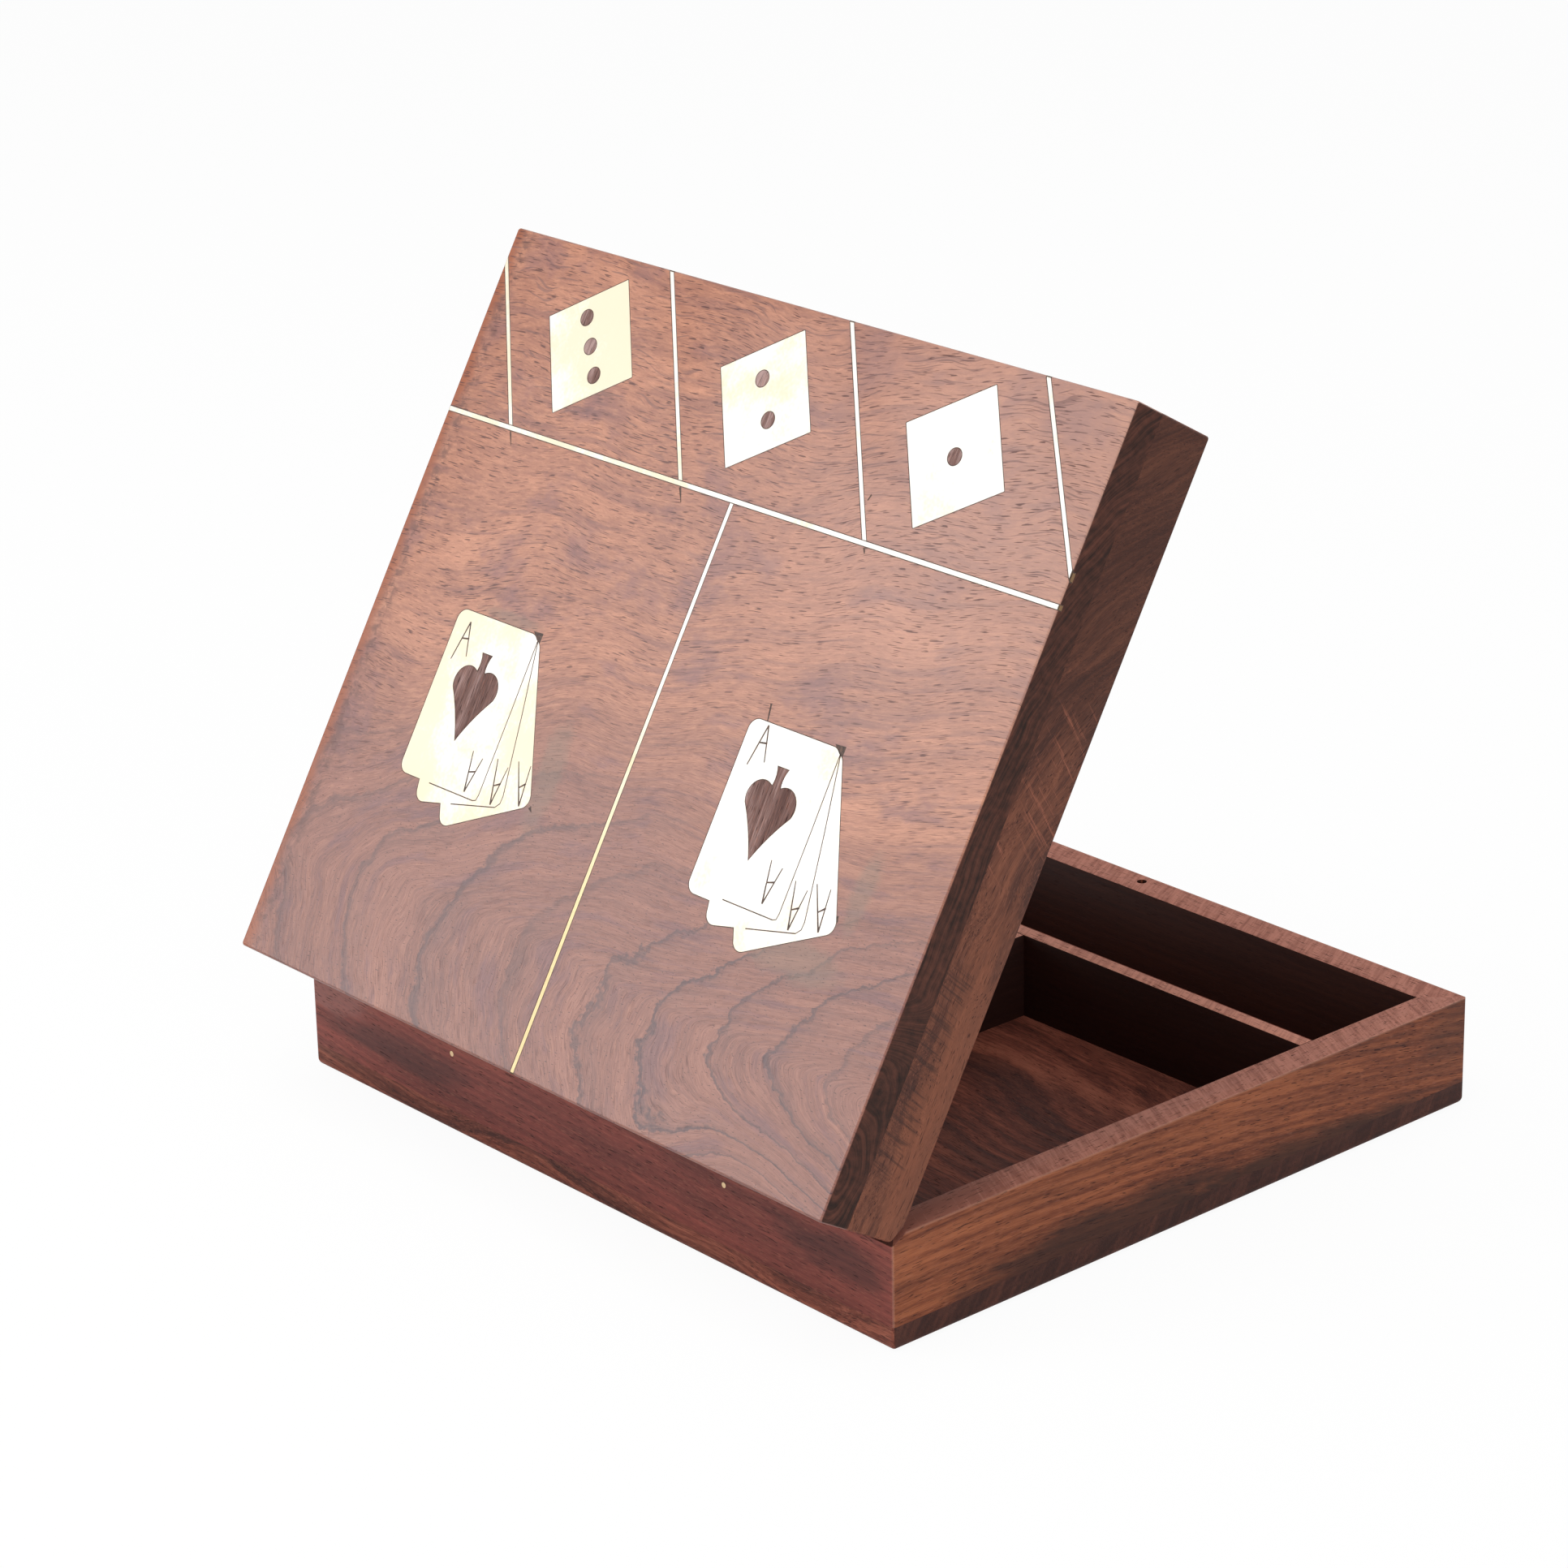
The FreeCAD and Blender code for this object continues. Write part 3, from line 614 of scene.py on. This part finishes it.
for name, look in railLooks.items():
    finishes[name] = woodFinish(name, {**plainWood, "onLid": True, "sawn": 0.85, "sawnSide": -1.0, **look})
# the share for the divider face that looks into the bay is painted shade
dividerLook = {
    "sawn": 0.9, "sawnLightTone": (0.6, 0.27, 0.195), "sawnTone": (0.38, 0.152, 0.108), "inner": 0.95,
}
finishes["dice_divider"] = woodFinish("dividerWood", {
    **plainWood, **dividerLook, "shift": (9, 77, 5), "inward": (0.0, 1.0),
})
finishes["card_divider"] = woodFinish("cardDividerWood", {
    **plainWood, **dividerLook, "grain": "Y", "shift": (19, 7, 35), "inward": (-1.0, 0.0),
})
finishes["board"] = woodFinish("boardWood", {
    **plainWood, "shift": (3, 90, 15), "pith": (30.0, -160.0), "spacing": 7.0, "figure": 0.6, "lean": -0.03,
    "wander": 16.0, "wanderScale": (0.018, 0.012, 0.02),
    "stops": [(0.0, (0.05, 0.014, 0.01)), (0.45, (0.17, 0.046, 0.03)), (1.0, (0.38, 0.122, 0.074))],
})
finishes["spade"] = woodFinish("inlayWood", {
    **plainWood, "onLid": True, "grain": "Y", "shift": (3, 9, 15), "coat": 0.3, "figure": 0.1,
    "stops": [(0.0, (0.085, 0.04, 0.034)), (0.45, (0.2, 0.115, 0.1)), (1.0, (0.5, 0.35, 0.33))],
})
print("finishes made")


# How a piece's mesh is cleaned, eased and smoothed: lengths in mm, angles in degrees
meshCare = {
    "touching": 1e-6, "flat": 0.4, "square": 0.9999, "smoothUnder": 32.0,
    "shortest": 2.5, "sharpest": 35.0, "rounds": 2, "profile": 0.6,
}


def copyOf(name, node, onLid):
    piece = bpy.data.objects.new(name, nodes[node].data.copy())
    bpy.context.scene.collection.objects.link(piece)
    shape = bmesh.new()
    shape.from_mesh(piece.data)
    if onLid:
        shape.transform(toShut)
    bmesh.ops.remove_doubles(shape, verts=shape.verts, dist=meshCare["touching"])
    bmesh.ops.dissolve_limit(
        shape, angle_limit=math.radians(meshCare["flat"]), verts=shape.verts, edges=shape.edges,
        delimit={"NORMAL"},
    )
    return piece, shape


def settle(piece, shape, onLid):
    # Back into the object, swung open if it belongs to the lid.
    if onLid:
        shape.transform(toOpen)
    bmesh.ops.recalc_face_normals(shape, faces=shape.faces)
    shape.to_mesh(piece.data)
    shape.free()
    # the normals that came with the node no longer fit the changed mesh
    stale = piece.data.attributes.get("custom_normal")
    if stale:
        piece.data.attributes.remove(stale)
    swing = toShut.to_3x3() if onLid else Matrix.Identity(3)
    for face in piece.data.polygons:
        square = max(abs(part) for part in swing @ face.normal) > meshCare["square"]
        face.use_smooth = not square
    piece.data.set_sharp_from_angle(angle=math.radians(meshCare["smoothUnder"]))


def finishPiece(piece, body, finish, stands=None):
    piece.data.materials.clear()
    piece.data.materials.append(finishes[finish])
    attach(piece, body)
    if stands:
        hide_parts(stands)


def isMitre(face):
    return abs(abs(face.normal.x) - abs(face.normal.y)) < 0.02 and abs(face.normal.z) < 0.1


def worthEasing(edge):
    if len(edge.link_faces) != 2 or edge.calc_length() < meshCare["shortest"] * mm:
        return False
    if edge.calc_face_angle() < math.radians(meshCare["sharpest"]):
        return False
    onBoard = all(abs(vert.co.z - boxSize["board"] * mm) < 0.01 * mm for vert in edge.verts)
    upright = abs((edge.verts[0].co - edge.verts[1].co).normalized().z) > 0.9
    return not (onBoard or upright or any(isMitre(face) for face in edge.link_faces))


def easedWood(node, body, finish, radius):
    onLid = body == "lid"
    piece, shape = copyOf(node + "_eased", node, onLid)
    bmesh.ops.bevel(
        shape, geom=[edge for edge in shape.edges if worthEasing(edge)], offset=radius * mm,
        offset_type="OFFSET", segments=meshCare["rounds"], profile=meshCare["profile"],
        affect="EDGES", clamp_overlap=False,
    )
    settle(piece, shape, onLid)
    finishPiece(piece, body, finish, node)


# Each piece's slot, and how far its edges are eased, in mm
woodPieces = {
    "hinge_wall": ("wall_wood", 0.15), "front_wall": ("wall_wood", 0.25),
    "left_wall": ("wall_wood", 0.25), "right_wall": ("wall_wood", 0.25),
    "dice_divider": ("divider_wood", 0.2), "card_divider": ("divider_wood", 0.25),
    "lid_rear_rail": ("rail_wood", 0.1), "lid_front_rail": ("rail_wood", 0.1),
    "lid_left_rail": ("rail_wood", 0.1), "lid_right_rail": ("rail_wood", 0.1),
}
for node, (slot, radius) in woodPieces.items():
    easedWood(node, "lid" if node in railLooks else "base", node, radius)
print("wood pieces made")


def prismInto(shape, outline, low, high):
    # A closed upright prism on an outline given in mm.
    bottom = [shape.verts.new((x * mm, y * mm, low * mm)) for x, y in outline]
    top = [shape.verts.new((x * mm, y * mm, high * mm)) for x, y in outline]
    count = len(outline)
    shape.faces.new(list(reversed(bottom)))
    shape.faces.new(top)
    for n in range(count):
        after = (n + 1) % count
        shape.faces.new((bottom[n], bottom[after], top[after], top[n]))


def ribbon(points, startWidth, endWidth):
    # Outline of a stroke along the points, its width changing evenly.
    lefts, rights = [], []
    last = len(points) - 1
    for n, point in enumerate(points):
        before, after = Vector(points[max(n - 1, 0)]), Vector(points[min(n + 1, last)])
        heading = (after - before).normalized()
        half = (startWidth + (endWidth - startWidth) * n / last) / 2
        side = Vector((-heading.y, heading.x)) * half
        lefts.append(Vector(point) + side)
        rights.append(Vector(point) - side)
    return [tuple(p) for p in rights + lefts[::-1]]


def cutFrom(piece, cutter):
    # Cuts one mesh out of another for good.
    modifier = piece.modifiers.new("cut", "BOOLEAN")
    modifier.object, modifier.operation, modifier.solver = cutter, "DIFFERENCE", "EXACT"
    modifier.use_self = True
    bpy.context.view_layer.update()
    grown = piece.evaluated_get(bpy.context.evaluated_depsgraph_get())
    result = bpy.data.meshes.new_from_object(grown)
    piece.modifiers.clear()
    piece.data = result
    bpy.data.objects.remove(cutter)


def meshObject(name, shape):
    bmesh.ops.recalc_face_normals(shape, faces=shape.faces)
    mesh = bpy.data.meshes.new(name)
    shape.to_mesh(mesh)
    shape.free()
    made = bpy.data.objects.new(name, mesh)
    bpy.context.scene.collection.objects.link(made)
    return made


# Marks left in the lid by the saw and the chisel, filled dark: x, y, heading, length, widths
sawMarks = {
    "slits": [
        (59.75, -33.7, 58, 2.8, 0.42, 0.15), (13.35, -33.7, 58, 2.9, 0.55, 0.15),
        (-33.05, -33.7, 58, 1.1, 0.5, 0.2), (-30.3, -42.3, 110, 1.2, 0.35, 0.25),
        (-26.1, -4.6, 78, 3.4, 0.4, 0.25), (19.6, 26.4, 40, 1.0, 0.7, 0.2),
        (-57.4, 23.6, 60, 1.1, 0.6, 0.2),
    ],
    "corners": [(32.75, -1.7), (-45.25, -1.7)],
    "cornerSize": 2.1, "depth": 0.7, "fillDrop": 0.03,
}


def slitOutline(x, y, heading, length, startWidth, endWidth):
    turn = math.radians(heading)
    end = (x - length * math.cos(turn), y + length * math.sin(turn))
    return ribbon([(x, y), end], startWidth, endWidth)


def sawMarkOutlines():
    outlines = [slitOutline(*slit) for slit in sawMarks["slits"]]
    size = sawMarks["cornerSize"]
    for x, y in sawMarks["corners"]:
        outlines.append([(x - 0.5, y - 0.5), (x + size, y - 0.35), (x + size * 0.6, y + 0.35),
                         (x + 0.3, y + size * 0.6), (x - 0.45, y + size * 0.9)])
    return outlines


# Let-in brass: the glue line on either side, how deep a plate reaches, how wide the lid's side edge
# counts, and the headroom of a cutter above the lid
inlay = {"gap": 0.16, "plateDepth": 0.75, "sideEdge": 0.6, "headroom": 1.0, "slant": 32.0}
# The last slanted line was laid with a little more lean than its neighbours. Each pair is its
# place on the front edge, counted from the left side, and its lean
lastLine = {"even": (135.567, 0.6249), "laid": (135.8, 0.6835), "reach": 0.7, "farthest": 34.0, "deep": 1.0}


def turnLastLine(shape):
    # Moves the line's points, or its groove's; those on the lid's side stay on it
    (start, lean), (newStart, newLean) = lastLine["even"], lastLine["laid"]
    for vert in shape.verts:
        aside = boxSize["halfWidth"] - vert.co.x / mm
        back = vert.co.y / mm + boxSize["halfDepth"]
        offset = aside - start - lean * back
        tooLow = vert.co.z < (lidSwing["top"] - lastLine["deep"]) * mm
        if abs(offset) > lastLine["reach"] or back > lastLine["farthest"] or tooLow:
            continue
        if aside > boxSize["halfWidth"] * 2 - inlay["sideEdge"]:
            vert.co.y = ((aside - offset - newStart) / newLean - boxSize["halfDepth"]) * mm
        else:
            vert.co.x = (boxSize["halfWidth"] - newStart - newLean * back - offset) * mm


def lidBoard():
    piece, shape = copyOf("lid_board_marked", "lid_board", True)
    turnLastLine(shape)
    shape.to_mesh(piece.data)
    shape.free()
    cutter = bmesh.new()
    top = lidSwing["top"]
    for outline in sawMarkOutlines():
        prismInto(cutter, outline, top - sawMarks["depth"], top + inlay["headroom"])
    cutFrom(piece, meshObject("lidCuts", cutter))
    shape = bmesh.new()
    shape.from_mesh(piece.data)
    settle(piece, shape, True)
    finishPiece(piece, "lid", "lid", "lid_board")


def islandsOf(shape):
    seen, groups = set(), []
    for start in shape.verts:
        if start in seen:
            continue
        group, queue = [], [start]
        seen.add(start)
        while queue:
            vert = queue.pop()
            group.append(vert)
            for edge in vert.link_edges:
                other = edge.other_vert(vert)
                if other not in seen:
                    seen.add(other)
                    queue.append(other)
        groups.append(group)
    return groups


def brassLine(node, across):
    # The strip sits a hair narrower than its groove, so a dark glue line shows on both sides.
    # Its ends slide along the lid's edge that cuts them off.
    piece, shape = copyOf(node + "_strip", node, True)
    for group in islandsOf(shape):
        places = [vert.co.dot(across) for vert in group]
        centre, half = (max(places) + min(places)) / 2, (max(places) - min(places)) / 2
        for vert, place in zip(group, places):
            atSide = abs(vert.co.x) > (boxSize["halfWidth"] - inlay["sideEdge"]) * mm
            slide = Vector((0, 1, 0)) if across.y and (atSide or not across.x) else Vector((1, 0, 0))
            vert.co += slide * (place - centre) * (-inlay["gap"] * mm / half) / slide.dot(across)
    if node == "slanted_lines":
        turnLastLine(shape)
    settle(piece, shape, True)
    finishPiece(piece, "lid", "inlay", node)


def brassPlate(node, strokes=None):
    piece, shape = copyOf(node + "_let_in", node, True)
    upward = [face for face in shape.faces if face.normal.z > 0.99]
    top = [face for face in upward if abs(face.calc_center_median().z - lidTop) < 0.01 * mm]
    bmesh.ops.inset_region(
        shape, faces=top, thickness=inlay["gap"] * mm, use_boundary=True, use_even_offset=True
    )
    kept = set(top)
    bmesh.ops.delete(shape, geom=[f for f in shape.faces if f not in kept], context="FACES")
    rim = [edge for edge in shape.edges if edge.is_boundary]
    down = Vector((0, 0, -inlay["plateDepth"] * mm))
    sunk = {vert: shape.verts.new(vert.co + down) for vert in list(shape.verts)}
    for face in top:
        shape.faces.new([sunk[vert] for vert in face.verts])
    for start, end in (edge.verts for edge in rim):
        shape.faces.new((start, end, sunk[end], sunk[start]))
    bmesh.ops.recalc_face_normals(shape, faces=shape.faces)
    shape.to_mesh(piece.data)
    shape.free()
    if strokes:
        cutter = bmesh.new()
        for outline, depth in strokes:
            prismInto(cutter, outline, lidSwing["top"] - depth, lidSwing["top"] + inlay["headroom"])
        cutFrom(piece, meshObject("strokes", cutter))
    shape = bmesh.new()
    shape.from_mesh(piece.data)
    settle(piece, shape, True)
    finishPiece(piece, "lid", "inlay", node)


fan = {
    "places": {"card_fan_right": (32.7625, -1.7), "card_fan_left": (-45.2625, -1.7)},
    # hand cut, so the marks of one fan sit a little off: upright mark, then one mark a card
    "drift": {"card_fan_right": [(0, 0)] * 4,
              "card_fan_left": [(-0.5, -1.4), (0.6, -1.9), (0.5, 0.1), (1.0, 0.2)]},
    # and the first card's long edge stops a little short
    "short": {"card_fan_right": 0.0, "card_fan_left": 1.0},
    "angles": (0.0, 12.0, 25.5), "lineWidth": 0.21, "lineDepth": 0.055, "markWidth": 0.34, "markDepth": 0.3,
}
# Engraved marks in a card's own mm: the card, then strokes of start width, end width, points
rankMarks = [
    (0, [(1.0, 0.8, [(18.4, 2.0), (19.9, 9.3)]), (1.0, 0.7, [(18.4, 2.0), (16.3, 8.0)]),
         (0.8, 1.0, [(19.1, 5.2), (17.2, 4.9)])]),
    (0, [(1.1, 0.7, [(4.0, 30.0), (5.5, 22.8)]), (1.0, 0.7, [(4.0, 30.0), (2.5, 23.4)]),
         (0.8, 1.0, [(4.7, 26.5), (3.0, 26.0)])]),
]
for card in (1, 2):
    rankMarks.append((card, [
        (1.1, 0.7, [(2.9, 30.4), (3.5, 22.2)]), (1.0, 0.6, [(2.9, 30.4), (0.5, 23.6)]),
        (0.8, 1.1, [(3.1, 27.0), (1.4, 26.6)]),
    ]))
# Engraved outlines: the card, then the points of its line
cardEdges = [
    (0, [(0.25, 0.8), (0.1, 14.0), (0.12, 29.6), (0.35, 30.6), (1.1, 30.85), (13.4, 30.9)]),
    (1, [(0.35, 0.8), (0.1, 14.0), (0.12, 28.8), (0.5, 30.1), (1.6, 30.8), (12.8, 30.85)]),
]


def fanStrokes(node, corner):
    # Outlines of the strokes, each with its depth
    outlines = []

    def placed(card, points, drift=(0, 0)):
        turn = Matrix.Rotation(math.radians(fan["angles"][card]), 2)
        return [tuple(turn @ Vector(point) + Vector(corner) + Vector(drift)) for point in points]

    for (card, strokes), drift in zip(rankMarks, fan["drift"][node]):
        mark = fan["markWidth"]
        for startWidth, endWidth, points in strokes:
            outline = ribbon(placed(card, points, drift), startWidth * mark, endWidth * mark)
            outlines.append((outline, fan["markDepth"]))
    for card, points in cardEdges:
        if card == 0:
            points = [(x, y - fan["short"][node] * (y > 20)) for x, y in points]
        outline = ribbon(placed(card, points), fan["lineWidth"], fan["lineWidth"])
        outlines.append((outline, fan["lineDepth"]))
    return outlines


def glueBed():
    # Fills every pocket of the lid a hair below the surface; the brass stands in it.
    bed = bmesh.new()
    names = ["long_line", "centre_line", "slanted_lines", "dice_plate_one", "dice_plate_two",
             "dice_plate_three", "card_fan_left", "card_fan_right"]
    for name in names:
        part = nodes[name].data.copy()
        part.transform(toShut)
        bed.from_mesh(part)
        bpy.data.meshes.remove(part)
    bmesh.ops.remove_doubles(bed, verts=bed.verts, dist=meshCare["touching"])
    turnLastLine(bed)
    inset = 0.06
    wide, deep = (boxSize["halfWidth"] - inset) * mm, (boxSize["halfDepth"] - inset) * mm
    fillTop = lidTop - sawMarks["fillDrop"] * mm
    for vert in bed.verts:
        vert.co.x = min(max(vert.co.x, -wide), wide)
        vert.co.y = min(max(vert.co.y, -deep), deep)
        vert.co.z = min(vert.co.z, fillTop)
    top = lidSwing["top"]
    for outline in sawMarkOutlines():
        prismInto(bed, outline, top - sawMarks["depth"], top - sawMarks["fillDrop"])
    bed.transform(toOpen)
    finishPiece(meshObject("glue_bed", bed), "lid", "filler")


lidBoard()
slantTurn = math.radians(inlay["slant"])
brassLine("long_line", Vector((0, 1, 0)))
brassLine("centre_line", Vector((1, 0, 0)))
brassLine("slanted_lines", Vector((math.cos(slantTurn), math.sin(slantTurn), 0)))
for count in ("one", "two", "three"):
    brassPlate("dice_plate_" + count)
for node, corner in fan["places"].items():
    brassPlate(node, fanStrokes(node, corner))
glueBed()
print("lid and inlay made")

cadFinishes = {
    "board": ["bottom_board"], "spade": ["spade_left", "spade_right", "dice_pips"],
    "hinge": ["base_leaf_left", "base_leaf_right", "base_cross_pins", "hinge_pin_left", "hinge_pin_right"],
    "lidHinge": ["lid_leaf_left", "lid_leaf_right", "lid_cross_pins", "closing_pin"],
}
for finish, names in cadFinishes.items():
    for name in names:
        nodes[name].data.materials.clear()
        nodes[name].data.materials.append(finishes[finish])


studio = {
    "white": (1.0, 1.0, 1.0, 1), "fill": 0.42, "floorColour": (0.94, 0.94, 0.94, 1), "floorGlow": 0.94,
    "floorHalf": 4.0, "floorDrop": 0.3,
    "lamps": {
        "overhead": {"place": (-0.05, 0.45, 1.15), "target": (0, 0, 0.05), "size": 0.9, "power": 9.0},
        "side": {"place": (-1.2, 0.25, 0.55), "target": (0, 0, 0.05), "size": 0.7, "power": 3.0},
        "sheen": {"place": (0.76, 0.85, 0.37), "target": (0, 0.03, 0.07), "size": 0.55, "power": 4.0},
    },
}


def makeSky():
    # Plain white to the eye and in the polish, dimmer as a light
    world = bpy.data.worlds.new("studio")
    bpy.context.scene.world = world
    sky = Paint(world, "Background", "World Output")
    ray = sky.given("ShaderNodeLightPath")
    seen = ray["Is Camera Ray"].math("MAXIMUM", ray["Is Glossy Ray"])
    seen = seen.math("MAXIMUM", ray["Is Transmission Ray"])
    sky.finish(Color=studio["white"], Strength=studio["fill"])
    sky.mixWith(seen, sky.node("ShaderNodeBackground", {}, {"Color": studio["white"], "Strength": 1.0}))


def makeFloor():
    shape = bmesh.new()
    bmesh.ops.create_grid(shape, x_segments=1, y_segments=1, size=studio["floorHalf"])
    shape.transform(Matrix.Translation((0, 0, -studio["floorDrop"] * mm)))
    floor = meshObject("floor", shape)
    paint = Paint(bpy.data.materials.new("floorPaper"))
    seen = paint.given("ShaderNodeLightPath")["Is Camera Ray"]
    glow = paint.node("ShaderNodeEmission", {}, {"Color": studio["white"], "Strength": 1.0})
    paint.mixWith(seen * studio["floorGlow"], glow)
    paper = paint.finish(Base_Color=studio["floorColour"], Roughness=0.9, Specular_IOR_Level=0.1)
    floor.data.materials.append(paper)


def makeLamps():
    for name, lamp in studio["lamps"].items():
        data = bpy.data.lights.new(name, "AREA")
        data.shape, data.size, data.energy = "SQUARE", lamp["size"], lamp["power"]
        made = bpy.data.objects.new(name, data)
        bpy.context.scene.collection.objects.link(made)
        made.location = lamp["place"]
        aim = Vector(lamp["target"]) - Vector(lamp["place"])
        made.rotation_euler = aim.to_track_quat("-Z", "Y").to_euler()


view = {
    "place": (-0.58287, 0.52904, 0.35965), "lens": 109.6, "sensor": 36.0, "nearest": 0.01,
    "right": (-0.66174, -0.74949, -0.01924), "down": (-0.25627, 0.25023, -0.93366),
}


def makeCamera():
    data = bpy.data.cameras.new("camera")
    data.lens, data.sensor_width, data.sensor_fit = view["lens"], view["sensor"], "HORIZONTAL"
    data.clip_start = view["nearest"]
    camera = bpy.data.objects.new("camera", data)
    bpy.context.scene.collection.objects.link(camera)
    right = Vector(view["right"]).normalized()
    up = -Vector(view["down"]).normalized()
    back = right.cross(up)
    turn = Matrix((right, up, back)).transposed().to_4x4()
    camera.matrix_world = Matrix.Translation(view["place"]) @ turn
    bpy.context.scene.camera = camera


makeSky()
makeFloor()
makeLamps()
makeCamera()
bpy.context.scene.view_settings.view_transform = "Standard"
print("stage set")
